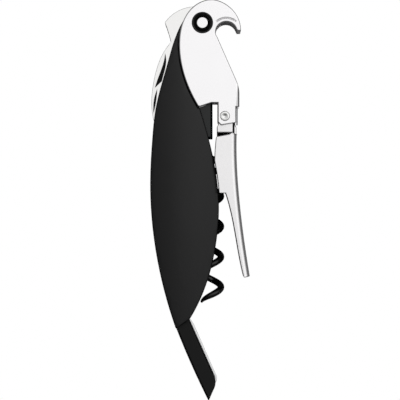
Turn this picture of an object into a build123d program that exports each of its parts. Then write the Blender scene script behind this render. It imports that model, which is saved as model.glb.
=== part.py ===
from build123d import *
from math import atan2, cos, radians, sin
import os

# Lever corkscrew in the shape of a long-tailed bird, folded shut and lying on its side.
# Construction frame: origin on the main pivot at mid-thickness, +Y towards the top of the head,
# +X towards the lever, +Z out of the upper side. Everything is shifted to the row frame at the end.

# ---------------------------------------------------------------- worm wire: it sets the thickness
helix_radius = 3.23
wire_radius = 1.12
worm_side_gap = 0.35      # worm to liner
hub_side_gap = 0.2        # hub to liner

# ---------------------------------------------------------------- thickness stack, from the mid-plane
channel_half = helix_radius + wire_radius + worm_side_gap
liner_thick = 1.0
washer_thick = 0.8
cheek_thick = 2.1         # each side of the head and of the leg
liner_top = channel_half + liner_thick
cheek_low = liner_top + washer_thick
cheek_top = cheek_low + cheek_thick
wing_crown = cheek_top    # the handle's shells are as proud as the head

# ---------------------------------------------------------------- clearances
seat_gap = 0.02           # a pin or plate fixed in its hole, each side
running_gap = 0.05        # a pin that turns in its hole, each side
side_gap = 0.25           # a moving edge beside a fixed one
layer_gap = 0.05          # a plate that lies between two others, each side

# ---------------------------------------------------------------- pivots
eye = (0, 0)              # head on the handle
knuckle = (7.43, -30.84)  # leg on the head
hub_pivot = (0, -24.2)    # worm on the handle
knife_pivot = (2.07, -118.2)

eye_pin_radius = 1.8
eye_ring_radius = 3.45
eye_washer_radius = 3.9
eye_bush_radius = 4.6
liner_end_radius = 4.9
knuckle_pin_radius = 1.55
hub_pin_radius = 1.3
knife_pin_radius = 0.9

# ---------------------------------------------------------------- handle
# Back edge of the shells, top to bottom.
wing_back = [(-3.4, 5.0), (-8.3, -3.1), (-12.0, -15.0), (-15.25, -27.2), (-16.6, -38.7), (-17.2, -49.3),
             (-17.2, -57.2), (-15.15, -77.0), (-8.75, -101.2)]
# Belly edge of the shells, bottom to top.
wing_belly = [(-4.3, -98.2), (1.7, -85.3), (4.85, -70.8), (5.5, -61.0), (3.2, -42.7), (-0.9, -28.0)]
liner_inset = 0.2         # how far the liners stay inside the shells below the crest
# Silver back band, from the crest to where it meets the shells.
band_edge = [(-10.4, -6.2), (-14.3, -12.7), (-16.3, -20.3), (-16.85, -26.0), (-15.95, -32.8)]
crest_root = (-3.1, 5.5)
crest_top = (-8.6, 3.8)
crest_tip = (-12.4, 0.25)
crest_hollow = (-11.2, -3.2)
spine_thick = 0.7
side_profile = [(12, 6.1), (-3, 6.3), (-24, 7.8), (-48, wing_crown - 0.04), (-76, 8.3), (-106, 6.9)]
dome_radius = 34.0        # across the handle
dome_middle = -6.0        # X of the dome's ridge

# ---------------------------------------------------------------- head
head_back = [(-1.45, -27.6), (-4.55, -21.6), (-7.0, -13.7), (-7.6, -5.7), (-6.15, 1.0), (-2.4, 5.8),
             (2.9, 7.7), (8.3, 5.8), (11.3, 2.6), (12.74, -2.7)]
beak_width = 1.2
hook_centre = (7.9, -3.2)
hook_radius = 3.5
throat_top = (4.95, -4.75)
throat_foot = (11.35, -19.3)
head_front = 12.24        # X of the straight front edge
head_foot = -27.8         # Y where the front edge steps back to the tabs
tab_front = 11.12
tab_back = 5.08
tab_foot = -33.9
notch_top = -26.5
beak_web_from = 6.4       # X where the solid beak begins between the cheeks
throat_web = 1.6
knuckle_sweep = 7.4       # radius round the knuckle that the leg's shoulder needs
head_edge_round = 0.4
front_round = 1.1         # along the straight front edge
lip_radius = 4.8          # round groove above the hook
lip_groove = 0.26         # its own radius

# ---------------------------------------------------------------- leg
leg_front = [(11.35, -36.85), (11.4, -46.0), (12.4, -59.9), (13.65, -70.4), (15.7, -83.8)]
leg_inner = [(13.7, -84.2), (12.05, -76.5), (9.97, -64.9), (7.7, -56.3)]
leg_step = -56.3          # Y of the second step
leg_back = [(4.85, -56.3), (4.1, -44.0), (4.6, -37.6)]
leg_web = 1.5
leg_round = 1.7
shoulder_block = 2.4
foot_block = 5.0
barrel_radius = 2.25
barrel_clear = 0.2        # tongue and barrel to the cheeks' inner faces
tongue_reach = 3.87       # X from the knuckle to the tongue's front
tongue_end = -36.1        # Y where the tongue slopes down to the leg
tongue_groove = 0.4
tongue_slot_half = 2.5
knuckle_leaf = 0.45
leaf_half = tongue_slot_half - 0.3
leaf_x = head_front - 0.9

# ---------------------------------------------------------------- worm
worm_axis = 3.0           # X of the helix axis
worm_pitch = 10.1
worm_turns = 5
ground_turn = 0.1         # part of the last turn that the ground point takes up
point_length = 1.7
worm_tip = -92.6          # Y where the last turn would end
hub_half = 3.4
hub_thick = channel_half - hub_side_gap  # half-thickness
hub_foot = -38.3
hub_bevel = 0.7
shank_depth = 5.0
spring_thick = 0.7

# ---------------------------------------------------------------- tail and knife
tail_tip = (2.08, -125.25)
tail_left_top = (-8.12, -101.9)
tail_width = 5.0
tail_half = channel_half - layer_gap
tail_bevel = 0.55
tail_bow = 0.4            # how far the back edge bows out
tail_root_side = -2.7
blade_half = 0.5
blade_proud = 0.65
blade_edge = -0.6         # cutting edge, across from the pivot
blade_length = 23.5
blade_tang = 2.4
tail_pin_cover = 0.8      # plastic left over the knife pin's upper end
knife_slot_gap = 0.12

# ---------------------------------------------------------------- fasteners
rivet_radius = 1.2
rivet_places = [(-9.4, -14.5), (-12.2, -36.0), (-13.0, -60.0)]
low_rivet_side = -10.4    # X of the rivet above the tail
tail_rivet_radius = 0.9
screw_places = [(-8.0, -40.0), (-8.5, -68.0)]
low_screw_side = -7.0
screw_head_radius = 1.6
screw_head_height = 0.7
screw_shank_radius = 0.8
screw_bite = 1.6


def outline(*edges):
    """Closed face from edges given in order."""
    return Face(Wire([edge for item in edges for edge in item.edges()]))


def polygon(points):
    return Face(Wire(Polyline(*points, close=True).edges()))


def slab(face, low, high):
    """Plate of a face between two heights."""
    return extrude(Pos(0, 0, low) * face, amount=high - low, dir=(0, 0, 1))


def disc(centre, radius, low, high):
    middle = (low + high) / 2
    return Pos(centre[0], centre[1], middle) * Cylinder(radius, high - low)


def below(part):
    """The same piece on the underside."""
    return mirror(part, about=Plane.XY)


def shifted(points, across):
    return [(x + across, y) for x, y in points]


# ---------------------------------------------------------------- outlines shared by several pieces
def head_face():
    """Side view of the head: round back, beak, hook, throat, front edge and the tabs for the knuckle."""
    beak_inner = (head_back[-1][0] - beak_width, head_back[-1][1])
    start = radians(18)
    hook_start = (hook_centre[0] + hook_radius * cos(start), hook_centre[1] + hook_radius * sin(start))
    hook_top = (hook_centre[0], hook_centre[1] + hook_radius)
    hook_end = (hook_centre[0] - hook_radius, hook_centre[1] + 0.3)
    bow = (12.02, -21.5)
    front_top = (head_front, -23.6)
    corner = 1.1
    return outline(
        Spline(*head_back),
        Line(head_back[-1], beak_inner),
        Line(beak_inner, hook_start),
        ThreePointArc(hook_start, hook_top, hook_end),
        ThreePointArc(hook_end, (4.5, -3.9), throat_top),
        Line(throat_top, throat_foot),
        ThreePointArc(throat_foot, bow, front_top),
        Polyline(front_top, (head_front, head_foot), (tab_front, head_foot), (tab_front, tab_foot + 0.9),
                 (tab_back + corner, tab_foot), (tab_back, tab_foot + corner), (tab_back, notch_top),
                 (3.0, notch_top), (-0.75, head_back[0][1] - 0.15), head_back[0]),
    )


def wing_face():
    under_head = [wing_belly[-1], (0, -12), (-1.5, 5.2), wing_back[0]]
    return outline(
        Spline(*wing_back),
        Line(wing_back[-1], wing_belly[0]),
        Spline(*wing_belly),
        Polyline(*under_head),
    )


hidden_back = [band_edge[-1]] + shifted(wing_back[4:], liner_inset)


def liner_face():
    """Liner: crest, back band, then inside the shells down to the tail, and a round end at the pivot."""
    lean = radians(100)
    round_top = (liner_end_radius * cos(lean), liner_end_radius * sin(lean))
    round_side = (liner_end_radius, 0)
    under = radians(-50)
    round_foot = (liner_end_radius * cos(under), liner_end_radius * sin(under))
    boss = 3.0
    belly = shifted(wing_belly, -liner_inset)
    return outline(
        ThreePointArc(crest_root, crest_top, crest_tip),
        ThreePointArc(crest_tip, crest_hollow, band_edge[0]),
        Spline(*band_edge),
        Spline(*hidden_back),
        Line(hidden_back[-1], belly[0]),
        Spline(*belly),
        Polyline(belly[-1], (1.2, hub_pivot[1] - boss), (boss, hub_pivot[1] - 1.4), (boss, hub_pivot[1] + 2),
                 round_foot),
        ThreePointArc(round_foot, round_side, round_top),
        Line(round_top, crest_root),
    )


def window_faces():
    """Two leaf-shaped openings in the back band."""
    upper_top = (-12.3, -10.5)
    upper_right = (-13.5, -19.2)
    upper_foot = (-15.5, -21.05)
    lower_top = (-15.1, -22.4)
    lower_foot = (-16.1, -29.2)
    upper = outline(Spline(upper_top, (-12.1, -13.2), (-12.65, -16.0), upper_right),
                    Line(upper_right, upper_foot),
                    Spline(upper_foot, (-14.25, -17.3), (-13.05, -14.0), upper_top))
    lower = outline(ThreePointArc(lower_top, (-15.97, -25.5), lower_foot),
                    ThreePointArc(lower_foot, (-15.4, -25.9), lower_top))
    return [upper, lower]


# ---------------------------------------------------------------- handle
def make_liner():
    plate = slab(liner_face(), channel_half, liner_top)
    for window in window_faces():
        plate -= slab(window, channel_half - 1, liner_top + 1)
    plate -= disc(eye, eye_pin_radius + seat_gap, 0, 10)
    plate -= disc(hub_pivot, hub_pin_radius + seat_gap, 0, 10)
    for place in rivet_places:
        plate -= disc(place, rivet_radius + seat_gap, 0, 10)
    for place in tail_rivet_places:
        plate -= disc(place, tail_rivet_radius + seat_gap, 0, 10)
    for place in screw_places:
        plate -= disc(place, screw_head_radius + seat_gap, 0, channel_half + screw_head_height)
        plate -= disc(place, screw_shank_radius + seat_gap, 0, 10)
    return plate


def make_wing():
    """Shell with a long, slightly crowned outer face, cut clear of the head's back edge."""
    path = Spline(*[(0, y, z) for y, z in side_profile])
    start_y, start_z = side_profile[0]
    section_plane = Plane(origin=(0, start_y, start_z), x_dir=(1, 0, 0), z_dir=path % 0)
    reach = 24.0
    drop = dome_radius - (dome_radius ** 2 - reach ** 2) ** 0.5
    base = -14.0
    section = outline(
        ThreePointArc((dome_middle - reach, -drop), (dome_middle, 0), (dome_middle + reach, -drop)),
        Polyline((dome_middle + reach, -drop), (dome_middle + reach, base), (dome_middle - reach, base),
                 (dome_middle - reach, -drop)),
    )
    flip = -1 if section_plane.y_dir.Z < 0 else 1
    profile = section_plane * (section if flip > 0 else mirror(section, about=Plane.XZ))
    dome = sweep(profile, path=path)
    shell = slab(wing_face(), liner_top, wing_crown + 1) & dome
    edge = shifted(head_back, -side_gap)
    corner = head_foot - side_gap
    head_room = outline(Spline(*edge), Polyline(edge[-1], (30, edge[-1][1]), (30, corner),
                                                (edge[0][0], corner), edge[0]))
    shell -= slab(head_room, cheek_low - side_gap, wing_crown + 2)
    shell -= disc(eye, eye_washer_radius + side_gap, 0, wing_crown + 2)
    for place in screw_places:
        drill_top = channel_half + screw_head_height + screw_bite + 0.1
        shell -= disc(place, screw_shank_radius + seat_gap, 0, drill_top)
    return shell


def above_tail(half):
    """Everything in the handle that lies above the tail's root."""
    foot = tail_root_top + 2 * layer_gap
    return slab(polygon([(-30, 20), (5, 20), (5, foot), (-30, foot)]), -half, half)


def make_back_spine():
    """Silver strip that closes the back between the liners, with the crest at its top."""
    inner_band = shifted(band_edge, spine_thick)
    inner_hidden = [inner_band[-1]] + shifted(hidden_back[1:], spine_thick)
    crest_inner = (-3.5, 4.9)
    strip = outline(
        ThreePointArc(crest_root, crest_top, crest_tip),
        ThreePointArc(crest_tip, crest_hollow, band_edge[0]),
        Spline(*band_edge),
        Spline(*hidden_back),
        Line(hidden_back[-1], inner_hidden[-1]),
        Spline(*reversed(inner_hidden)),
        Spline(*reversed(inner_band)),
        Polyline(inner_band[0], crest_inner, crest_root),
    )
    half = channel_half - layer_gap
    return slab(strip, -half, half) & above_tail(half)


def make_core():
    """Black spacer between the liners: back wall of the worm's channel."""
    half = channel_half - layer_gap
    across = spine_thick + layer_gap
    inner_band = shifted(band_edge, across)
    inner_hidden = [inner_band[-1]] + shifted(hidden_back[1:], across)
    hub_clear = hub_pivot[1] + hub_half + 0.5
    spring_side = -hub_half - side_gap - spring_thick - layer_gap
    channel_side = worm_axis - helix_radius - wire_radius - 0.9
    body = outline(
        Spline(*inner_band),
        Spline(*inner_hidden),
        Polyline(inner_hidden[-1], (channel_side - 0.4, -100), (channel_side, -95), (channel_side, -64.5),
                 (spring_side, -63.0), (spring_side, hub_clear), (2.4, hub_clear), (2.4, -6.0),
                 (inner_band[0][0] + 0.4, -6.0), inner_band[0]),
    )
    block = slab(body, -half, half)
    block &= above_tail(half)
    for place in rivet_places:
        block -= disc(place, rivet_radius + seat_gap, -10, 10)
    return block


def make_rivets():
    rivets = [disc(place, rivet_radius, -liner_top, liner_top) for place in rivet_places]
    rivets += [disc(place, tail_rivet_radius, -liner_top, liner_top) for place in tail_rivet_places]
    return Compound(rivets)


def make_wing_screws():
    """Countersunk between liner and core, each driven outwards into its shell."""
    screws = []
    for place in screw_places:
        head_top = channel_half + screw_head_height - layer_gap
        head = disc(place, screw_head_radius, channel_half, head_top)
        shank = disc(place, screw_shank_radius, head_top, channel_half + screw_head_height + screw_bite)
        cross = disc(place, 0.45, channel_half - 1, channel_half + 0.35)
        screw = head + shank - cross
        screws += [screw, below(screw)]
    return Compound([solid for screw in screws for solid in screw.solids()])


# ---------------------------------------------------------------- tail and knife
tail_angle = atan2(tail_tip[1] - tail_left_top[1], tail_tip[0] - tail_left_top[0])


def on_tail(along, across):
    """Point at a distance up the tail from the knife's pivot, and out towards the belly side."""
    x = knife_pivot[0] - along * cos(tail_angle) - across * sin(tail_angle)
    y = knife_pivot[1] - along * sin(tail_angle) + across * cos(tail_angle)
    return (x, y)


tail_left = ((knife_pivot[0] - tail_tip[0]) * sin(tail_angle)
             - (knife_pivot[1] - tail_tip[1]) * cos(tail_angle))
tail_right = tail_left + tail_width
tail_root_up = blade_length + 0.5
tail_root_top = on_tail(blade_length + 7.8, 0)[1]
tail_rivet_places = [on_tail(blade_length + 4.86, 1.44), on_tail(blade_length + 2.8, 4.15)]
rivet_places += [(low_rivet_side, tail_root_top + 5.5)]
screw_places += [(low_screw_side, tail_root_top + 3.0)]


def make_tail():
    blade = outline(
        ThreePointArc(tail_tip, on_tail(8.5, tail_left - tail_bow), on_tail(tail_root_up, tail_left)),
        Line(on_tail(tail_root_up, tail_left), on_tail(tail_root_up, tail_right)),
        Line(on_tail(tail_root_up, tail_right), on_tail(0.8, tail_right)),
        ThreePointArc(on_tail(0.8, tail_right), on_tail(-1.6, tail_right - 0.35), on_tail(-3.6, tail_right - 1.9)),
        Line(on_tail(-3.6, tail_right - 1.9), tail_tip),
    )
    stem = slab(blade, -tail_half, tail_half)
    corners = stem.faces().filter_by(Axis.Z).edges()
    long_edges = [edge for edge in corners if edge.length > 20]
    stem = chamfer(long_edges, tail_bevel)
    root_box = polygon([(-30, tail_root_top), (tail_root_side, tail_root_top), (tail_root_side, -97.0),
                        (wing_belly[0][0] - 1.0, wing_belly[0][1] + 0.3), (-30, -101.0)])
    root = slab(liner_face() & root_box, -tail_half, tail_half)
    tail = stem + root
    slot_half = blade_half + knife_slot_gap
    wall = blade_edge - spring_thick - 2 * layer_gap - 0.1
    slot = polygon([on_tail(-12, tail_left - 3), on_tail(3.2, tail_left - 3), on_tail(3.2, wall),
                    on_tail(blade_length + 1.2, wall), on_tail(blade_length + 1.2, tail_right + 8),
                    on_tail(-12, tail_right + 8)])
    tail -= slab(slot, -slot_half, slot_half)
    tail -= disc(knife_pivot, knife_pin_radius + seat_gap, -10, tail_half - tail_pin_cover + layer_gap)
    for place in tail_rivet_places:
        tail -= disc(place, tail_rivet_radius + seat_gap, -10, 10)
    return tail


def make_knife():
    """Folding foil knife: its back stands proud of the tail when shut."""
    spine = tail_right + blade_proud
    point = on_tail(blade_length, 0.4)
    blade = outline(
        Line(on_tail(0.6, spine), on_tail(blade_length - 5.5, spine)),
        ThreePointArc(on_tail(blade_length - 5.5, spine), on_tail(blade_length - 2.2, spine - 0.7), point),
        ThreePointArc(point, on_tail(blade_length - 1.2, -0.3), on_tail(blade_length - 3.2, blade_edge)),
        Line(on_tail(blade_length - 3.2, blade_edge), on_tail(4.2, blade_edge)),
        Line(on_tail(4.2, blade_edge), on_tail(3.4, blade_edge + 0.5)),
        Line(on_tail(3.4, blade_edge + 0.5), on_tail(1.6, -1.75)),
        ThreePointArc(on_tail(1.6, -1.75), on_tail(-blade_tang, 0), on_tail(0.6, spine)),
    )
    knife = slab(blade, -blade_half, blade_half)
    knife -= disc(knife_pivot, knife_pin_radius + running_gap, -10, 10)
    return knife


def make_knife_spring():
    low = blade_edge - spring_thick - layer_gap
    strip = polygon([on_tail(4.4, low), on_tail(blade_length, low), on_tail(blade_length, low + spring_thick),
                     on_tail(4.4, low + spring_thick)])
    return slab(strip, -blade_half, blade_half)


# ---------------------------------------------------------------- worm
def make_worm():
    """Right-handed wire helix with a straight shank and a ground point."""
    turns = worm_turns - ground_turn
    coil = Rot(0, 0, 360 * ground_turn) * Helix(pitch=worm_pitch, height=worm_pitch * turns, radius=helix_radius)
    foot = (worm_axis, worm_tip + worm_pitch * ground_turn, 0)
    coil_edge = Plane(origin=foot, x_dir=(-1, 0, 0), z_dir=(0, 1, 0)) * coil
    edge = coil_edge.edges()[0]
    top = edge @ 1
    top_run = edge % 1
    shank_x = worm_axis - helix_radius
    shank_foot = (shank_x, hub_foot - 0.4, 0)
    bend = Spline(top, (shank_x, top.Y + 2.0, 0.9), shank_foot, tangents=[top_run, (0, 1, 0)])
    shank = Line(shank_foot, (shank_x, hub_foot + shank_depth, 0))
    path = Wire([edge, bend.edges()[0], shank.edges()[0]])
    section = Plane(origin=edge @ 0, z_dir=edge % 0) * Circle(wire_radius)
    wire = sweep(section, path=path)
    end = edge % 0
    at_tip = Plane(origin=edge @ 0 - end * (point_length / 2), z_dir=end * -1)
    return wire + at_tip * Cone(wire_radius, 0.1, point_length)


def make_hub():
    """Block that turns on the frame and holds the worm's shank."""
    shank_x = worm_axis - helix_radius
    body = outline(
        Line((-hub_half, hub_pivot[1]), (-hub_half, hub_foot)),
        Line((-hub_half, hub_foot), (hub_half, hub_foot)),
        Line((hub_half, hub_foot), (hub_half, hub_pivot[1])),
        ThreePointArc((hub_half, hub_pivot[1]), (0, hub_pivot[1] + hub_half), (-hub_half, hub_pivot[1])),
    )
    block = slab(body, -hub_thick, hub_thick)
    rims = [edge for edge in block.edges() if abs(edge.center().Z) > hub_thick - 0.01]
    block = chamfer(rims, hub_bevel)
    block -= disc(hub_pivot, hub_pin_radius + running_gap, -10, 10)
    hole_depth = shank_depth + seat_gap
    hole = Pos(shank_x, hub_foot + hole_depth / 2 - 0.5, 0) * Rot(90, 0, 0) * Cylinder(
        wire_radius + seat_gap, hole_depth + 1)
    return block - hole


def make_worm_spring():
    """Flat spring behind the hub, held by its foot in the core."""
    side = -hub_half - side_gap
    strip = polygon([(side, -26.0), (side, -62.6), (side - spring_thick, -62.6), (side - spring_thick, -26.0)])
    return slab(strip, -3.2, 3.2)


# ---------------------------------------------------------------- head
def make_head():
    """Two cheeks joined by the solid beak and by a web along the throat."""
    profile = head_face()
    cheek = slab(profile, cheek_low, cheek_top)
    rim = cheek.faces().sort_by(Axis.Z)[-1].edges()
    cheek = fillet(rim, head_edge_round)
    above = hook_centre[1] + lip_radius + 2
    lip_zone = polygon([hook_centre, (hook_centre[0] + 6.0, above), (hook_centre[0] - 6.0, above)])
    ring = Pos(hook_centre[0], hook_centre[1], cheek_top) * Torus(lip_radius, lip_groove)
    cheek -= ring & slab(lip_zone, cheek_low, cheek_top + 1)
    middle = (head_front - front_round, (head_foot - 20) / 2, cheek_top - front_round)
    corner = Pos(middle[0] + front_round, middle[1], middle[2] + front_round) * Box(
        2 * front_round, 20 + head_foot + 24, 2 * front_round)
    corner -= Pos(*middle) * Rot(90, 0, 0) * Cylinder(front_round, 40)
    cheek -= corner
    head = cheek + below(cheek)
    beak_zone = polygon([(beak_web_from, 12), (20, 12), (20, hook_centre[1]), (beak_web_from, hook_centre[1])])
    lean = throat_web / sin(atan2(throat_top[1] - throat_foot[1], throat_foot[0] - throat_top[0]))
    throat_zone = polygon([throat_top, throat_foot, (head_front + 1, -21), (head_front + 1, head_foot),
                           (head_front - throat_web, head_foot), (head_front - throat_web, -22.6),
                           (throat_foot[0] - lean, throat_foot[1]),
                           (throat_top[0] - lean + 0.3, throat_top[1] - 0.7)])
    web = slab(profile & beak_zone, -cheek_low, cheek_low)
    web += slab(profile & throat_zone, -cheek_low, cheek_low)
    web -= disc(knuckle, knuckle_sweep, -cheek_low + 0.001, cheek_low - 0.001)
    head += web
    leaf_slot = Box(knuckle_leaf + 2 * seat_gap, 3.2, 2 * leaf_half + 2 * seat_gap)
    head -= Pos(leaf_x + knuckle_leaf / 2, -24, 0) * leaf_slot
    for end in (1, -1):
        low, high = sorted((end * (cheek_low - 1), end * (cheek_top + 1)))
        head -= disc(eye, eye_ring_radius + seat_gap, low, high)
        head -= disc(knuckle, knuckle_pin_radius + seat_gap, low, high)
    return head


def make_eye_ring():
    """Bush that lines the cheek's eye: it turns on the pivot pin."""
    pin_room = disc(eye, eye_pin_radius + running_gap, 0, 20)
    ring = disc(eye, eye_ring_radius, cheek_low, cheek_top - 0.1) - pin_room
    top_face = ring.faces().sort_by(Axis.Z)[-1]
    return fillet(top_face.edges(), 0.45)


def make_eye_pin():
    reach = cheek_top - 0.15
    pin = disc(eye, eye_pin_radius, -reach, reach)
    ends = [edge for edge in pin.edges().filter_by(GeomType.CIRCLE)]
    return chamfer(ends, 0.2)


def make_washer():
    pin_room = disc(eye, eye_pin_radius + seat_gap, 0, 20)
    return disc(eye, eye_washer_radius, liner_top, cheek_low - layer_gap) - pin_room


def make_bush():
    half = channel_half - layer_gap
    return disc(eye, eye_bush_radius, -half, half) - disc(eye, eye_pin_radius + seat_gap, -20, 20)


def make_knuckle_pin():
    reach = cheek_top - 0.15
    pin = disc(knuckle, knuckle_pin_radius, -reach, reach)
    pin = chamfer(pin.edges().filter_by(GeomType.CIRCLE), 0.2)
    dimple = Pos(knuckle[0], knuckle[1], reach) * Cone(0.05, 0.8, 0.5)
    return pin - dimple - below(dimple)


def make_knuckle_spring():
    """Leaf that keeps the leg in line with the head."""
    return Pos(leaf_x + knuckle_leaf / 2, -28.1, 0) * Box(knuckle_leaf, 11.0, 2 * leaf_half)


# ---------------------------------------------------------------- leg
def make_leg():
    """Channel-section lever with a tongue at the top, a step half-way and a foot."""
    profile = outline(
        Spline(*leg_front),
        Line(leg_front[-1], leg_inner[0]),
        Spline(*leg_inner),
        Line(leg_inner[-1], leg_back[0]),
        Spline(*leg_back),
        Polyline((4.6, -37.6), (8.8, -36.85), (10.0, -36.15), (10.75, -36.75), leg_front[0]),
    )
    bar = slab(profile, -cheek_top, cheek_top)
    front = [edge for edge in bar.edges()
             if abs(abs(edge.center().Z) - cheek_top) < 0.01 and edge.length > 40 and edge.center().X > 11.8]
    bar = fillet(front, leg_round)
    edge = shifted(wing_belly, side_gap)
    handle_room = outline(Spline(*edge), Polyline(edge[-1], (-30, edge[-1][1]), (-30, edge[0][1]), edge[0]))
    bar -= slab(handle_room, -cheek_top - 1, cheek_top + 1)
    hollow_front = [(x - leg_web, y) for x, y in leg_front]
    hollow_top = leg_front[0][1] - shoulder_block
    hollow_foot = leg_inner[0][1] + foot_block
    hollow = outline(
        Spline(*hollow_front),
        Polyline(hollow_front[-1], (-5, hollow_front[-1][1]), (-5, hollow_front[0][1]), hollow_front[0]),
    )
    hollow &= polygon([(-5, hollow_top), (20, hollow_top), (20, hollow_foot), (-5, hollow_foot)])
    bar -= slab(hollow, -cheek_low, cheek_low)
    tongue_half = cheek_low - barrel_clear
    shoulder = leg_front[0][1] - 0.8
    tongue_front = knuckle[0] + tongue_reach
    tongue_face = polygon([(tab_back + 0.2, knuckle[1]), (knuckle[0] + barrel_radius, knuckle[1]),
                           (tongue_front, tab_foot - 0.7), (tongue_front, shoulder), (tab_back - 0.2, shoulder),
                           (tab_back - 0.2, tab_foot - 0.2), (tab_back + 0.2, tab_foot + 0.2)])
    tongue = slab(tongue_face, -tongue_half, tongue_half)
    groove_x = tongue_front - 3 * tongue_groove
    slope = Plane.YZ * polygon([(tongue_end, tongue_half + 0.01), (shoulder, tongue_half + 0.01),
                                (shoulder, tongue_slot_half + 0.3)])
    slope = extrude(Pos(tab_back - 1, 0, 0) * slope, amount=groove_x - tab_back + 1, dir=(1, 0, 0))
    groove = Pos(groove_x + tongue_groove / 2, knuckle[1] - 5, tongue_half) * Box(tongue_groove, 6.0, 4.0)
    tongue -= slope + below(slope) + groove + below(groove)
    barrel = disc(knuckle, barrel_radius, -tongue_half, tongue_half)
    fork = slab(polygon([(0, -20), (20, -20), (20, shoulder + 0.6), (0, shoulder + 0.6)]),
                -tongue_slot_half, tongue_slot_half)
    tongue = tongue - fork + barrel
    bar += tongue
    bar -= disc(knuckle, knuckle_pin_radius + running_gap, -20, 20)
    return bar


# ---------------------------------------------------------------- write the parts
def build():
    liner = make_liner()
    wing = make_wing()
    ring = make_eye_ring()
    washer = make_washer()
    pieces = {
        "frame_liner_upper": liner,
        "frame_liner_lower": below(liner),
        "back_spine": make_back_spine(),
        "core_spacer": make_core(),
        "liner_rivets": make_rivets(),
        "wing_upper": wing,
        "wing_lower": below(wing),
        "wing_screws": make_wing_screws(),
        "tail_sheath": make_tail(),
        "knife_blade": make_knife(),
        "knife_pivot_pin": disc(knife_pivot, knife_pin_radius, -tail_half, tail_half - tail_pin_cover),
        "knife_spring": make_knife_spring(),
        "worm": make_worm(),
        "worm_hub": make_hub(),
        "worm_pivot_pin": disc(hub_pivot, hub_pin_radius, -liner_top, liner_top),
        "worm_spring": make_worm_spring(),
        "head_lever": make_head(),
        "eye_ring_upper": ring,
        "eye_ring_lower": below(ring),
        "main_pivot_pin": make_eye_pin(),
        "pivot_washer_upper": washer,
        "pivot_washer_lower": below(washer),
        "pivot_bush": make_bush(),
        "leg_lever": make_leg(),
        "knuckle_pin": make_knuckle_pin(),
        "knuckle_spring": make_knuckle_spring(),
    }
    return pieces


if __name__ == "__main__":
    os.makedirs("parts", exist_ok=True)
    pieces = build()
    box = Compound([solid for piece in pieces.values() for solid in piece.solids()]).bounding_box()
    shift = Pos(-(box.min.X + box.max.X) / 2, -(box.min.Y + box.max.Y) / 2, -box.min.Z)
    for name, piece in pieces.items():
        solids = piece.solids()
        moved = shift * (solids[0] if len(solids) == 1 else Compound(solids))
        export_step(moved, f"parts/{name}.step")
    print("size", box.size)
    for place in (eye, knuckle, hub_pivot, knife_pivot):
        spot = shift * Pos(place[0], place[1], 0)
        print("pivot", [round(value / 1000, 6) for value in spot.position])
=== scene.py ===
import math
import bpy
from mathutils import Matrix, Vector


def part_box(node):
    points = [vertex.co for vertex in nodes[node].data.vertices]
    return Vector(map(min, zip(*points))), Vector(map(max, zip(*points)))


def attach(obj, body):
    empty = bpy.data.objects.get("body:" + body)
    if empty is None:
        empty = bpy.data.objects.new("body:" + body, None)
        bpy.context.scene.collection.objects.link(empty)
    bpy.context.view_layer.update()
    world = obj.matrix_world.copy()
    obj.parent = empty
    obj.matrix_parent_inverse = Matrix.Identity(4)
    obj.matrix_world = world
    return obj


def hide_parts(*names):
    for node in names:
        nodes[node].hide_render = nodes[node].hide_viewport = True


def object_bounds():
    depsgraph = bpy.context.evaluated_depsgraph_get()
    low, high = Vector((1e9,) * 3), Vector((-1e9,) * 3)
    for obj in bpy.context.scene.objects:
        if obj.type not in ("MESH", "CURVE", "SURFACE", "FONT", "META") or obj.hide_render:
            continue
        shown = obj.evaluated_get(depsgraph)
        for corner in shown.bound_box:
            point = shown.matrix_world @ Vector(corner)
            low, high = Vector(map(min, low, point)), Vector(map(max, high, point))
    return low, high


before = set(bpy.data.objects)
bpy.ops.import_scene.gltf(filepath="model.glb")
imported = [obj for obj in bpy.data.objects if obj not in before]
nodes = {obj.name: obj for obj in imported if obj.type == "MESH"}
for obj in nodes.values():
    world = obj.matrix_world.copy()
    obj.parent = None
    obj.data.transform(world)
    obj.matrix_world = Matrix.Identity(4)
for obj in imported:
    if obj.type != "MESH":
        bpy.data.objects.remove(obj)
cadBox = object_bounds()
middle = (cadBox[0].z + cadBox[1].z) / 2  # height of the plane that both sides mirror about
print("frame loaded:", len(nodes), "nodes")


# camera: straight down on the flat side, a long lens from a little under a metre
cameraSet = {"height": 0.85, "frameWidth": 0.132, "x": 0.00001, "y": 0.000235, "sensor": 36.0}


def makeCamera(values):
    top = cadBox[1].z
    data = bpy.data.cameras.new("camera")
    data.sensor_width = values["sensor"]
    data.lens = values["sensor"] * values["height"] / values["frameWidth"]
    data.clip_start = 0.01
    data.clip_end = 20
    camera = bpy.data.objects.new("camera", data)
    camera.location = (values["x"], values["y"], top + values["height"])
    bpy.context.scene.collection.objects.link(camera)
    bpy.context.scene.camera = camera
    bpy.context.scene.view_settings.view_transform = "Standard"


makeCamera(cameraSet)
print("camera made")


# shared shader groups: each gives only masks, values, colours or heights
groupSet = {"grainDetail": 5, "patchDetail": 3, "patchStart": 0.45, "patchFull": 0.7}


def newGroup(name, ins, outs):  # an empty group with its named inputs and outputs
    group = bpy.data.node_groups.new(name, "ShaderNodeTree")
    for label, kind, value in ins:
        socket = group.interface.new_socket(label, in_out="INPUT", socket_type=kind)
        socket.default_value = value
    for label, kind in outs:
        group.interface.new_socket(label, in_out="OUTPUT", socket_type=kind)
    return group, group.nodes.new("NodeGroupInput"), group.nodes.new("NodeGroupOutput")


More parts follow.
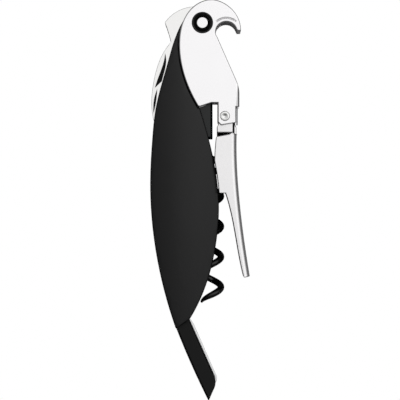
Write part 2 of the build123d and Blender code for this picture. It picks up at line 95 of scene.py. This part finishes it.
def makeGrainGroup(values):  # a roughness and a height that vary a little all over
    group, ins, outs = newGroup(
        "fineGrain",
        [("Scale", "NodeSocketFloat", 900.0),
         ("Low", "NodeSocketFloat", 0.2), ("High", "NodeSocketFloat", 0.3)],
        [("Roughness", "NodeSocketFloat"), ("Height", "NodeSocketFloat")])
    where = group.nodes.new("ShaderNodeTexCoord")
    grain = group.nodes.new("ShaderNodeTexNoise")
    grain.inputs["Detail"].default_value = values["grainDetail"]
    change = group.nodes.new("ShaderNodeMapRange")
    group.links.new(where.outputs["Object"], grain.inputs["Vector"])
    group.links.new(ins.outputs["Scale"], grain.inputs["Scale"])
    group.links.new(grain.outputs["Fac"], change.inputs["Value"])
    group.links.new(ins.outputs["Low"], change.inputs["To Min"])
    group.links.new(ins.outputs["High"], change.inputs["To Max"])
    group.links.new(change.outputs["Result"], outs.inputs["Roughness"])
    group.links.new(grain.outputs["Fac"], outs.inputs["Height"])
    return group


def makePatchGroup(values):  # two close shades in soft clouds, as handling leaves
    group, ins, outs = newGroup(
        "handledPatches",
        [("Colour", "NodeSocketColor", (0.5, 0.5, 0.5, 1)),
         ("Patch", "NodeSocketColor", (0.4, 0.4, 0.4, 1)),
         ("Scale", "NodeSocketFloat", 60.0), ("Amount", "NodeSocketFloat", 0.3)],
        [("Colour", "NodeSocketColor")])
    where = group.nodes.new("ShaderNodeTexCoord")
    cloud = group.nodes.new("ShaderNodeTexNoise")
    cloud.inputs["Detail"].default_value = values["patchDetail"]
    edge = group.nodes.new("ShaderNodeMapRange")
    edge.inputs["From Min"].default_value = values["patchStart"]
    edge.inputs["From Max"].default_value = values["patchFull"]
    share = group.nodes.new("ShaderNodeMath")
    share.operation = "MULTIPLY"
    blend = group.nodes.new("ShaderNodeMix")
    blend.data_type = "RGBA"
    group.links.new(where.outputs["Object"], cloud.inputs["Vector"])
    group.links.new(ins.outputs["Scale"], cloud.inputs["Scale"])
    group.links.new(cloud.outputs["Fac"], edge.inputs["Value"])
    group.links.new(edge.outputs["Result"], share.inputs[0])
    group.links.new(ins.outputs["Amount"], share.inputs[1])
    group.links.new(share.outputs["Value"], blend.inputs[0])
    group.links.new(ins.outputs["Colour"], blend.inputs[6])
    group.links.new(ins.outputs["Patch"], blend.inputs[7])
    group.links.new(blend.outputs[2], outs.inputs["Colour"])
    return group


def makePaintedShadeGroup():  # painted shade: darker near the middle plane, on the side of the foot line towards the head, standing in for the shade that falls in the recesses
    group, ins, outs = newGroup(
        "paintedPocketShade",
        [("Colour", "NodeSocketColor", (0.5, 0.5, 0.5, 1)), ("Middle", "NodeSocketFloat", 0.0),
         ("Open", "NodeSocketFloat", 0.006), ("Shut", "NodeSocketFloat", 0.005),
         ("Deep", "NodeSocketFloat", 0.1), ("Foot", "NodeSocketFloat", 0.0)],
        [("Colour", "NodeSocketColor")])
    where = group.nodes.new("ShaderNodeTexCoord")
    split = group.nodes.new("ShaderNodeSeparateXYZ")
    away = group.nodes.new("ShaderNodeMath")
    away.operation = "SUBTRACT"
    size = group.nodes.new("ShaderNodeMath")
    size.operation = "ABSOLUTE"
    fade = group.nodes.new("ShaderNodeMapRange")
    below = group.nodes.new("ShaderNodeMath")
    below.operation = "LESS_THAN"
    light = group.nodes.new("ShaderNodeMath")
    light.operation = "MAXIMUM"
    tint = group.nodes.new("ShaderNodeVectorMath")
    tint.operation = "SCALE"
    group.links.new(where.outputs["Object"], split.inputs["Vector"])
    group.links.new(split.outputs["Z"], away.inputs[0])
    group.links.new(ins.outputs["Middle"], away.inputs[1])
    group.links.new(away.outputs["Value"], size.inputs[0])
    group.links.new(size.outputs["Value"], fade.inputs["Value"])
    group.links.new(ins.outputs["Open"], fade.inputs["From Max"])
    group.links.new(ins.outputs["Shut"], fade.inputs["From Min"])
    group.links.new(ins.outputs["Deep"], fade.inputs["To Min"])
    group.links.new(ins.outputs["Colour"], tint.inputs[0])
    group.links.new(split.outputs["Y"], below.inputs[0])
    group.links.new(ins.outputs["Foot"], below.inputs[1])
    group.links.new(below.outputs["Value"], light.inputs[0])
    group.links.new(fade.outputs["Result"], light.inputs[1])
    group.links.new(light.outputs["Value"], tint.inputs["Scale"])
    group.links.new(tint.outputs["Vector"], outs.inputs["Colour"])
    return group


grainGroup = makeGrainGroup(groupSet)
patchGroup = makePatchGroup(groupSet)
pocketShadeGroup = makePaintedShadeGroup()
print("shader groups made")


# materials: what every look starts from, and then what each look changes
plainLook = {"metallic": 0.0, "coat": 0.0, "coatRoughness": 0.1, "specular": 0.5, "lift": 0.2,
             "liftDepth": 0.00001, "patchScale": 60.0, "patchAmount": 0.25, "shadedPockets": None}


def useGroup(tree, group, **values):  # one group placed in a material with its own values
    node = tree.nodes.new("ShaderNodeGroup")
    node.node_tree = group
    for label, value in values.items():
        node.inputs[label].default_value = value
    return node


def rgba(colour):
    return (*colour, 1)


def makeMaterial(changes):
    values = {**plainLook, **changes}
    material = bpy.data.materials.new(values["name"])
    material.use_nodes = True
    tree = material.node_tree
    shader = tree.nodes["Principled BSDF"]
    shader.inputs["Metallic"].default_value = values["metallic"]
    shader.inputs["Coat Weight"].default_value = values["coat"]
    shader.inputs["Coat Roughness"].default_value = values["coatRoughness"]
    shader.inputs["Specular IOR Level"].default_value = values["specular"]
    low, high = values["rough"]
    grain = useGroup(tree, grainGroup, Scale=values["grain"], Low=low, High=high)
    tree.links.new(grain.outputs["Roughness"], shader.inputs["Roughness"])
    lift = tree.nodes.new("ShaderNodeBump")
    lift.inputs["Strength"].default_value = values["lift"]
    lift.inputs["Distance"].default_value = values["liftDepth"]
    tree.links.new(grain.outputs["Height"], lift.inputs["Height"])
    tree.links.new(lift.outputs["Normal"], shader.inputs["Normal"])
    patches = useGroup(tree, patchGroup, Colour=rgba(values["colour"]), Patch=rgba(values["patch"]),
                       Scale=values["patchScale"], Amount=values["patchAmount"])
    paint = patches.outputs["Colour"]
    # painted shade: the colour is darkened near the middle plane, where the recesses by the knuckle fall
    # into shade
    if values["shadedPockets"]:
        shut, clear = values["shadedPockets"]
        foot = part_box("knuckle_pin")[0][1] - values["pocketReach"]
        pocketShade = useGroup(tree, pocketShadeGroup, Middle=middle, Shut=shut, Open=clear, Deep=values["pocketShadeLevel"],
                         Foot=foot)
        tree.links.new(paint, pocketShade.inputs["Colour"])
        paint = pocketShade.outputs["Colour"]
    tree.links.new(paint, shader.inputs["Base Color"])
    return material


# patch is the shade of the handled patches; the pocket values are the depths where the painted shade in the
# recesses ends and full colour begins
looks = {
    "polished": {"name": "polishedDieCast", "metallic": 1.0, "colour": (0.955, 0.945, 0.955),
                 "patch": (0.9, 0.89, 0.9), "rough": (0.07, 0.12), "grain": 1500.0, "lift": 0.08},
    "satin": {"name": "satinFrame", "metallic": 1.0, "colour": (0.93, 0.925, 0.915),
              "patch": (0.86, 0.855, 0.845), "rough": (0.12, 0.2), "grain": 1200.0, "lift": 0.1},
    "pin": {"name": "turnedPin", "metallic": 1.0, "colour": (0.9, 0.9, 0.89),
            "patch": (0.82, 0.82, 0.81), "rough": (0.12, 0.2), "grain": 2500.0, "lift": 0.15},
    # the leg wears painted shade in its recesses by the knuckle
    "leg": {"name": "legDieCast", "metallic": 1.0, "colour": (0.955, 0.945, 0.95),
            "patch": (0.9, 0.89, 0.895), "rough": (0.2, 0.27), "grain": 1500.0, "lift": 0.08,
            "shadedPockets": (0.0048, 0.0060), "pocketShadeLevel": 0.06, "pocketReach": 0.0065},
    "spring": {"name": "springSteel", "metallic": 1.0, "colour": (0.35, 0.35, 0.36),
               "patch": (0.28, 0.28, 0.29), "rough": (0.25, 0.38), "grain": 2500.0, "lift": 0.15},
    "blade": {"name": "bladeSteel", "metallic": 1.0, "colour": (0.84, 0.84, 0.84),
              "patch": (0.78, 0.78, 0.78), "rough": (0.08, 0.13), "grain": 2000.0, "lift": 0.05},
    "washer": {"name": "washerPolymer", "colour": (0.5, 0.5, 0.47), "patch": (0.44, 0.44, 0.41),
               "rough": (0.4, 0.5), "grain": 2500.0},
    "wing": {"name": "wingPlastic", "colour": (0.004, 0.004, 0.0045), "patch": (0.005, 0.0045, 0.005),
             "rough": (0.28, 0.34), "grain": 2600.0, "liftDepth": 0.00002, "specular": 0.38,
             "patchScale": 40.0},
    "tail": {"name": "tailPlastic", "colour": (0.006, 0.006, 0.006), "patch": (0.008, 0.008, 0.008),
             "rough": (0.34, 0.42), "grain": 3000.0, "liftDepth": 0.00002, "specular": 0.2},
    "core": {"name": "corePlastic", "colour": (0.004, 0.004, 0.004), "patch": (0.005, 0.005, 0.005),
             "rough": (0.4, 0.5), "grain": 3000.0, "specular": 0.15},
    "worm": {"name": "wormCoating", "colour": (0.002, 0.002, 0.002), "patch": (0.003, 0.003, 0.003),
             "rough": (0.1, 0.16), "grain": 2500.0, "lift": 0.1, "specular": 0.45, "coat": 0.15},
    "ring": {"name": "eyeRingPlastic", "colour": (0.002, 0.002, 0.002), "patch": (0.003, 0.003, 0.003),
             "rough": (0.08, 0.12), "grain": 2500.0, "lift": 0.05, "specular": 0.45},
    "hub": {"name": "hubCoating", "colour": (0.006, 0.009, 0.0095), "patch": (0.008, 0.011, 0.012),
            "rough": (0.2, 0.28), "grain": 2500.0, "specular": 0.4},
}
materials = {key: makeMaterial(changes) for key, changes in looks.items()}

# which look each node wears
finish = {
    "polished": ["head_lever", "main_pivot_pin"],
    "leg": ["leg_lever"],
    "satin": ["frame_liner_upper", "frame_liner_lower", "back_spine"],
    "blade": ["knife_blade"],
    "pin": ["liner_rivets", "wing_screws", "knife_pivot_pin", "worm_pivot_pin", "pivot_bush", "knuckle_pin"],
    "spring": ["knife_spring", "worm_spring", "knuckle_spring"],
    "washer": ["pivot_washer_upper", "pivot_washer_lower"],
    "wing": ["wing_upper", "wing_lower"],
    "tail": ["tail_sheath"],
    "core": ["core_spacer"],
    "worm": ["worm"],
    "ring": ["eye_ring_upper", "eye_ring_lower"],
    "hub": ["worm_hub"],
}


def paint(piece, key):
    piece.data.materials.clear()
    piece.data.materials.append(materials[key])


for key, members in finish.items():
    for member in members:
        paint(nodes[member], key)
print("materials placed")


# modelling helpers; the smoothing values are angles in degrees
meshSet = {"mergeWithin": 0.000001, "roundSides": 72, "turnedSmooth": 35.0, "wireSmooth": 50.0}


def startEdit(piece):
    bpy.ops.object.select_all(action="DESELECT")
    piece.select_set(True)
    bpy.context.view_layer.objects.active = piece
    bpy.ops.object.mode_set(mode="EDIT")


def endEdit(angle, recalculate):  # smooth up to that angle, with the flat faces kept flat
    bpy.ops.mesh.select_all(action="SELECT")
    if recalculate:
        bpy.ops.mesh.normals_make_consistent(inside=False)
    bpy.ops.object.mode_set(mode="OBJECT")
    bpy.ops.object.shade_smooth_by_angle(angle=math.radians(angle))
    even = bpy.context.object.modifiers.new("flatFaces", "WEIGHTED_NORMAL")
    even.keep_sharp = True
    bpy.ops.object.modifier_apply(modifier=even.name)


def settle(piece, key, body, node):  # place into the mesh, material and body, with the node hidden
    bpy.ops.object.select_all(action="DESELECT")
    piece.select_set(True)
    bpy.context.view_layer.objects.active = piece
    bpy.ops.object.transform_apply(location=True, rotation=True, scale=True)
    paint(piece, key)
    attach(piece, body)
    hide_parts(node)


def turned(name, centre, profile, ring):  # a turned piece: (radius, height) steps round an upright axis
    radius, height = profile[0]
    foot = (centre.x, centre.y, middle + height)
    bpy.ops.mesh.primitive_circle_add(vertices=meshSet["roundSides"], radius=radius, location=foot)
    piece = bpy.context.object
    piece.name = name
    startEdit(piece)
    bpy.ops.mesh.select_all(action="SELECT")
    if not ring:
        bpy.ops.mesh.edge_face_add()
        bpy.ops.mesh.select_mode(type="VERT")
    for nextRadius, nextHeight in profile[1:]:
        bpy.ops.mesh.extrude_region_move(TRANSFORM_OT_translate={"value": (0, 0, nextHeight - height)})
        grow = nextRadius / radius
        place = (centre.x, centre.y, middle + nextHeight)
        bpy.ops.transform.resize(value=(grow, grow, 1), center_override=place)
        radius = nextRadius
        height = nextHeight
    if ring:
        bpy.ops.mesh.select_all(action="DESELECT")
        bpy.ops.mesh.select_mode(type="VERT")
        bpy.ops.mesh.select_non_manifold()
        bpy.ops.mesh.bridge_edge_loops()
    endEdit(meshSet["turnedSmooth"], True)
    return piece


def middleOf(node):
    low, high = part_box(node)
    return (Vector(low) + Vector(high)) / 2


def halfOf(node):
    low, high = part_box(node)
    return (high[2] - low[2]) / 2


# eye rings: a glossy funnel round the pivot pin, on each side
ringSet = {"lip": 0.00022, "funnelFoot": 0.00188, "funnelDepth": 0.0011, "edge": 0.00012, "lipDrop": 0.6}


def makeEyeRing(side, values):
    node = "eye_ring_" + side
    low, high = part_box(node)
    outer = (high[0] - low[0]) / 2
    face = max(abs(low[2] - middle), abs(high[2] - middle))
    back = min(abs(low[2] - middle), abs(high[2] - middle))
    sign = 1 if side == "upper" else -1
    edge = values["edge"]
    foot = values["funnelFoot"]
    lip = outer - edge - values["lip"]
    floor = face - values["funnelDepth"]
    profile = [(foot, back), (outer, back), (outer, face - edge), (outer - edge, face), (lip, face),
               (lip - edge, face - edge * values["lipDrop"]), (foot + edge, floor), (foot, floor - edge)]
    ring = turned("eyeRing" + side.capitalize(), middleOf(node), [(r, sign * h) for r, h in profile], True)
    settle(ring, "ring", "lever", node)


for side in ("upper", "lower"):
    makeEyeRing(side, ringSet)
print("eye rings made")


# pins: turned, with a rounded rim; the knuckle's pin has a ring and a dimple in each end
pinSet = {"rim": 0.00015, "rimCurve": 0.3, "land": 0.0005, "groove": 0.00008, "grooveEdge": 0.000128,
          "grooveFloor": 0.00016, "dimple": 0.00055, "dimpleDepth": 0.0003, "centre": 0.05}


def pinEnd(radius, face, values, dimpled):  # (radius, height) steps over one end, from the side inwards
    rim = values["rim"]
    curve = rim * values["rimCurve"]
    side = [(radius, face - rim), (radius - curve, face - curve), (radius - rim, face)]
    if not dimpled:
        return side
    groove = values["groove"]
    inner = radius - values["land"]
    dimple = values["dimple"]
    hollow = [(inner, face), (inner - groove, face - groove),
              (dimple + groove, face - values["grooveEdge"]), (dimple, face - values["grooveFloor"]),
              (dimple * values["centre"], face - values["dimpleDepth"])]
    return side + hollow


def makePin(node, body, key, dimpled):
    low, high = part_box(node)
    radius = (high[0] - low[0]) / 2
    end = pinEnd(radius, halfOf(node), pinSet, dimpled)
    profile = [(r, -h) for r, h in reversed(end)] + end
    settle(turned(node + "Turned", middleOf(node), profile, False), key, body, node)


makePin("main_pivot_pin", "handle", "polished", False)
makePin("knuckle_pin", "lever", "pin", True)
print("pins made")


# worm: coated wire in five turns, ground down to a point, with a straight shank into the hub
wormSet = {"wire": 0.00112, "skin": 0.00001, "pitch": 0.0101, "turns": 5.0, "ground": 0.1,
           "extraDegrees": 30.0, "perTurn": 44, "taperTurns": 0.34, "pointShare": 0.36,
           "shankLength": 0.0054, "bendLength": 0.0034, "bendPull": 0.0036, "bendSteps": 12,
           "shankGap": 0.00002, "sides": 7}


def bendPoint(start, end, leave, arrive, t):  # a smooth curve from start to end at share t
    spot = start * (2 * t ** 3 - 3 * t ** 2 + 1) + leave * (t ** 3 - 2 * t ** 2 + t)
    spot += end * (3 * t ** 2 - 2 * t ** 3) + arrive * (t ** 3 - t ** 2)
    return spot


def wireThrough(points, values):  # a round wire through (place, thickness share) points
    bpy.ops.curve.primitive_bezier_curve_add(location=(0, 0, 0))
    wire = bpy.context.object
    wire.name = "wormCoil"
    wire.data.splines.clear()
    line = wire.data.splines.new("POLY")
    line.points.add(len(points) - 1)
    for spot, (place, thick) in zip(line.points, points):
        spot.co = (*place, 1)
        spot.radius = thick
    wire.data.bevel_depth = values["wire"] - values["skin"]
    wire.data.bevel_resolution = values["sides"]
    wire.data.use_fill_caps = True
    bpy.ops.object.convert(target="MESH")
    return bpy.context.object


def makeWorm(values):
    low, high = [Vector(corner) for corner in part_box("worm")]
    axisX = (low.x + high.x) / 2
    coil = (high.x - low.x) / 2 - values["wire"]
    turn = 2 * math.pi
    shankFoot = high.y - values["shankLength"]
    coilTop = shankFoot - values["bendLength"]
    start = values["ground"] * turn - math.radians(values["extraDegrees"])
    end = values["turns"] * turn
    steps = int((end - start) / turn * values["perTurn"])
    points = []
    for i in range(steps + 1):
        angle = start + (end - start) * i / steps
        y = coilTop - values["pitch"] * (end - angle) / turn
        share = min(1.0, (angle - start) / (values["taperTurns"] * turn))
        thick = values["pointShare"] + (1 - values["pointShare"]) * math.sin(share * math.pi / 2)
        place = Vector((axisX - coil * math.cos(angle), y, middle + coil * math.sin(angle)))
        points.append((place, thick))
    first = points[-1][0]
    last = Vector((axisX - coil, shankFoot, middle))
    leave = (first - points[-2][0]).normalized() * values["bendPull"]
    arrive = Vector((0, values["bendPull"], 0))
    for i in range(values["bendSteps"]):
        share = (i + 1) / values["bendSteps"]
        points.append((bendPoint(first, last, leave, arrive, share), 1.0))
    points.append((Vector((last.x, high.y - values["shankGap"], last.z)), 1.0))
    piece = wireThrough(points, values)
    startEdit(piece)
    bpy.ops.mesh.select_all(action="SELECT")
    bpy.ops.mesh.remove_doubles(threshold=meshSet["mergeWithin"])
    endEdit(meshSet["wireSmooth"], True)
    settle(piece, "worm", "worm_arm", "worm")


makeWorm(wormSet)
print("worm made")


# broken edges: copies of the plates, levers and shells, with their corners rounded off
# each: body, material, slot and the width of the rounding
edgeSet = {
    "frame_liner_upper": ("handle", "satin", "satin_frame", 0.00015),
    "frame_liner_lower": ("handle", "satin", "satin_frame", 0.00015),
    "back_spine": ("handle", "satin", "satin_frame", 0.00015),
    "head_lever": ("lever", "polished", "polished_die_cast", 0.00012),
    "leg_lever": ("leg", "leg", "polished_die_cast", 0.00025),
    "wing_upper": ("handle", "wing", "wing_plastic", 0.0004),
    "wing_lower": ("handle", "wing", "wing_plastic", 0.0004),
    "tail_sheath": ("handle", "tail", "tail_plastic", 0.0002),
    "knife_blade": ("knife", "blade", "blade_steel", 0.00012),
    "worm_hub": ("worm_arm", "hub", "hub_coating", 0.00015),
}
roundSet = {"flatWithin": 0.6, "cornerFrom": 40.0, "segments": 2, "shrink": 0.9997}


def roundEdges(node, body, key, slot, width):  # merged, cleared of flat splits, rounded, a hair smaller
    source = nodes[node]
    piece = source.copy()
    piece.data = source.data.copy()
    piece.name = node + "Rounded"
    piece.parent = None
    bpy.context.scene.collection.objects.link(piece)
    startEdit(piece)
    bpy.ops.mesh.select_all(action="SELECT")
    bpy.ops.mesh.remove_doubles(threshold=meshSet["mergeWithin"])
    bpy.ops.mesh.dissolve_limited(angle_limit=math.radians(roundSet["flatWithin"]))
    bpy.ops.object.mode_set(mode="OBJECT")
    bevel = piece.modifiers.new("edges", "BEVEL")
    bevel.limit_method = "ANGLE"
    bevel.angle_limit = math.radians(roundSet["cornerFrom"])
    bevel.width = width
    bevel.segments = roundSet["segments"]
    bevel.use_clamp_overlap = False
    bpy.ops.object.modifier_apply(modifier=bevel.name)
    startEdit(piece)
    bpy.ops.mesh.select_all(action="SELECT")
    bpy.ops.transform.resize(value=[roundSet["shrink"]] * 3, center_override=middleOf(node))
    endEdit(roundSet["cornerFrom"], False)  # a copy already points outwards
    settle(piece, key, body, node)


for node, values in edgeSet.items():
    roundEdges(node, *values)
print("edges rounded")


# floor: white to the eye, dimmer in a reflection
floorSet = {"size": 8.0, "seen": 1.0, "paint": 0.35}


def makeFloor(values):
    bpy.ops.mesh.primitive_plane_add(size=values["size"], location=(0, 0, 0))
    floor = bpy.context.object
    floor.name = "floor"
    material = bpy.data.materials.new("paleFloor")
    material.use_nodes = True
    tree = material.node_tree
    tree.nodes.remove(tree.nodes["Principled BSDF"])
    matt = tree.nodes.new("ShaderNodeBsdfDiffuse")
    matt.inputs["Color"].default_value = (*[values["paint"]] * 3, 1)
    glow = tree.nodes.new("ShaderNodeEmission")
    glow.inputs["Strength"].default_value = values["seen"]
    path = tree.nodes.new("ShaderNodeLightPath")
    blend = tree.nodes.new("ShaderNodeMixShader")
    tree.links.new(path.outputs["Is Camera Ray"], blend.inputs["Fac"])
    tree.links.new(matt.outputs["BSDF"], blend.inputs[1])
    tree.links.new(glow.outputs["Emission"], blend.inputs[2])
    tree.links.new(blend.outputs["Shader"], tree.nodes["Material Output"].inputs["Surface"])
    floor.data.materials.append(material)


# studio sky: pale overhead, dark at the horizon, brighter on the lever's side, dimmer towards the foot
# each list gives (place, level) steps: heights from horizon to top, the others from end to end
skySet = {
    "strength": 1.0, "seen": 1.0,
    "heights": [(0.0, 0.06), (0.1, 0.3), (0.38, 0.6), (0.62, 0.85), (0.78, 1.05), (1.0, 1.05)],
    "across": [(0.05, 0.3), (0.38, 0.66), (0.49, 0.92), (0.6, 1.05), (0.88, 1.0), (0.97, 0.4)],
    "along": [(0.25, 0.15), (0.42, 0.48), (0.47, 0.92), (0.53, 1.0), (0.76, 1.0), (0.86, 0.2)],
}


def makeWorld(values):
    world = bpy.data.worlds.new("studio")
    bpy.context.scene.world = world
    world.use_nodes = True
    tree = world.node_tree
    background = tree.nodes["Background"]
    where = tree.nodes.new("ShaderNodeTexCoord")
    split = tree.nodes.new("ShaderNodeSeparateXYZ")
    tree.links.new(where.outputs["Generated"], split.inputs["Vector"])

    def scaled(source, stops):  # a grey level for each place along the stops
        band = tree.nodes.new("ShaderNodeValToRGB")
        tree.links.new(source, band.inputs["Fac"])
        steps = band.color_ramp.elements
        for step, (place, level) in zip(steps, (stops[0], stops[-1])):
            step.position = place
            step.color = (*[level] * 3, 1)
        for place, level in stops[1:-1]:
            step = steps.new(place)
            step.color = (*[level] * 3, 1)
        return band.outputs["Color"]

    def halved(source):  # from -1 to 1 into 0 to 1
        move = tree.nodes.new("ShaderNodeMath")
        move.operation = "MULTIPLY_ADD"
        move.inputs[1].default_value = 0.5
        move.inputs[2].default_value = 0.5
        tree.links.new(source, move.inputs[0])
        return move.outputs["Value"]

    def times(first, second):
        product = tree.nodes.new("ShaderNodeVectorMath")
        product.operation = "MULTIPLY"
        tree.links.new(first, product.inputs[0])
        tree.links.new(second, product.inputs[1])
        return product.outputs["Vector"]

    height = scaled(split.outputs["Z"], values["heights"])
    across = scaled(halved(split.outputs["X"]), values["across"])
    along = scaled(halved(split.outputs["Y"]), values["along"])
    tree.links.new(times(times(height, across), along), background.inputs["Color"])
    background.inputs["Strength"].default_value = values["strength"]
    path = tree.nodes.new("ShaderNodeLightPath")
    seen = tree.nodes.new("ShaderNodeBackground")
    seen.inputs["Color"].default_value = (1, 1, 1, 1)
    seen.inputs["Strength"].default_value = values["seen"]
    blend = tree.nodes.new("ShaderNodeMixShader")
    tree.links.new(path.outputs["Is Camera Ray"], blend.inputs["Fac"])
    tree.links.new(background.outputs["Background"], blend.inputs[1])
    tree.links.new(seen.outputs["Background"], blend.inputs[2])
    tree.links.new(blend.outputs["Shader"], tree.nodes["World Output"].inputs["Surface"])


makeFloor(floorSet)
makeWorld(skySet)
print("floor and light made")
